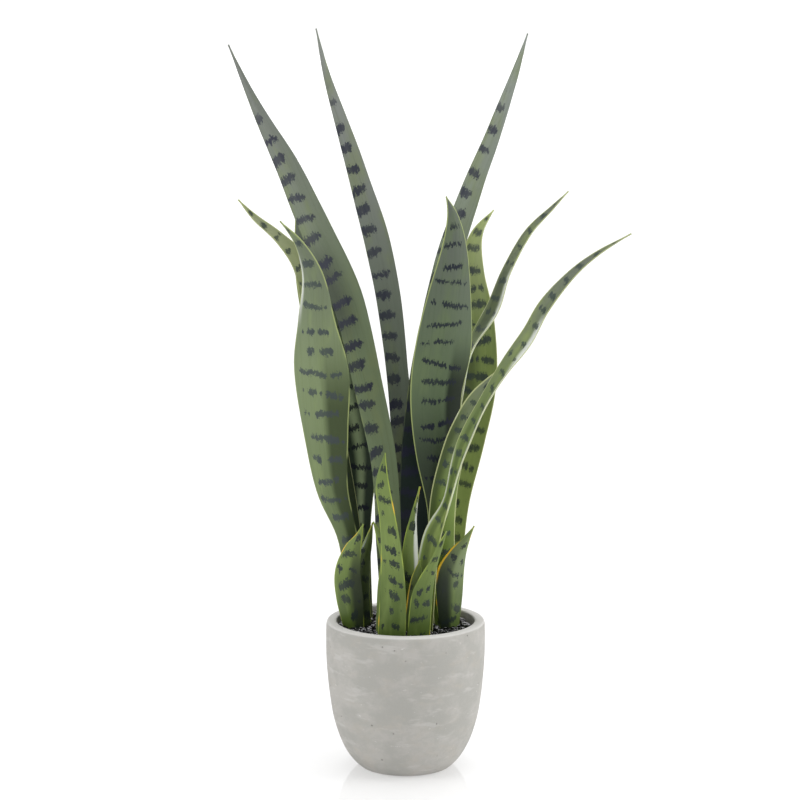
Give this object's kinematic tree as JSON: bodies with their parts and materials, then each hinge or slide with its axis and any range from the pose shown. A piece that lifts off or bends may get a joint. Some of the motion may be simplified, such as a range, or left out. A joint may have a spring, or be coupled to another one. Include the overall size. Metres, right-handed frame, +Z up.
{
  "type": "potted snake plant",
  "caption": "Snake plant with upright banded sword leaves, tall, broad and young, standing in black gravel in a round light grey cement pot.",
  "frame": {"origin": "centre of the pot's flat foot, on the surface it stands on", "axes": "+Z up through the pot's axis, -Y towards the front where the youngest leaves stand, +X to the right seen from the front"},
  "size_m": [0.386, 0.1745, 0.7382],
  "materials": {
    "cement": "matte",
    "soil": "matte",
    "gravel": "satin",
    "tall_leaf": "satin",
    "broad_leaf": "satin",
    "young_leaf": "satin"
  },
  "bodies": {
    "root": {"pot": "cement", "potting_soil": "soil", "gravel_bed": "gravel", "leaf_tall_left": "tall_leaf", "leaf_tall_centre": "tall_leaf", "leaf_tall_right": "tall_leaf", "leaf_front_left": "broad_leaf", "leaf_left_arching": "broad_leaf", "leaf_left_back": "broad_leaf", "leaf_front_right": "broad_leaf", "leaf_right_back": "broad_leaf", "leaf_right_short_arch": "broad_leaf", "leaf_right_long_arch": "broad_leaf", "leaf_right_broad": "broad_leaf", "leaf_front_centre": "young_leaf", "leaf_small_front_right": "young_leaf", "leaf_small_dark_centre": "young_leaf", "leaf_small_left": "young_leaf", "leaf_small_left_inner": "young_leaf", "leaf_small_centre_back": "young_leaf", "leaf_small_right": "young_leaf", "leaf_centre_small": "young_leaf"}
  },
  "joints": []
}
